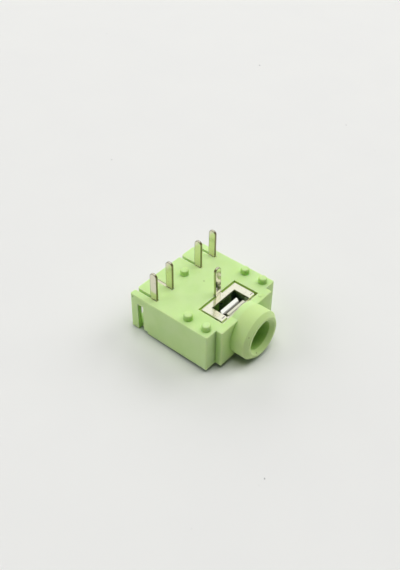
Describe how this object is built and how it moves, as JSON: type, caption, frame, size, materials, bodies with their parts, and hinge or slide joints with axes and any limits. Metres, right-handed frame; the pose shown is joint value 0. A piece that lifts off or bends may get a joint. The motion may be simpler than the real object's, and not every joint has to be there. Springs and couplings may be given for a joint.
{
  "type": "stereo jack socket",
  "caption": "Board-mount socket for a 3.5 mm stereo plug: a pale green moulded box with a short round nozzle, locating pegs, plated spring contacts inside and upright solder blades.",
  "frame": {"origin": "level with the nozzle's lowest line, under the middle of the bounding box", "axes": "-Y out of the nozzle, the way a plug leaves; +Z out of the board face, along the blades; +X to the tip contact's side"},
  "size_m": [0.012, 0.014, 0.009],
  "materials": {
    "green_plastic": "moulded, satin",
    "plated_sheet": "bright tin plating"
  },
  "bodies": {
    "root": {"housing": "green_plastic", "sleeve_contact": "plated_sheet", "ring_spring": "plated_sheet", "ring_switch_contact": "plated_sheet", "tip_spring": "plated_sheet", "tip_switch_contact": "plated_sheet"}
  },
  "joints": []
}
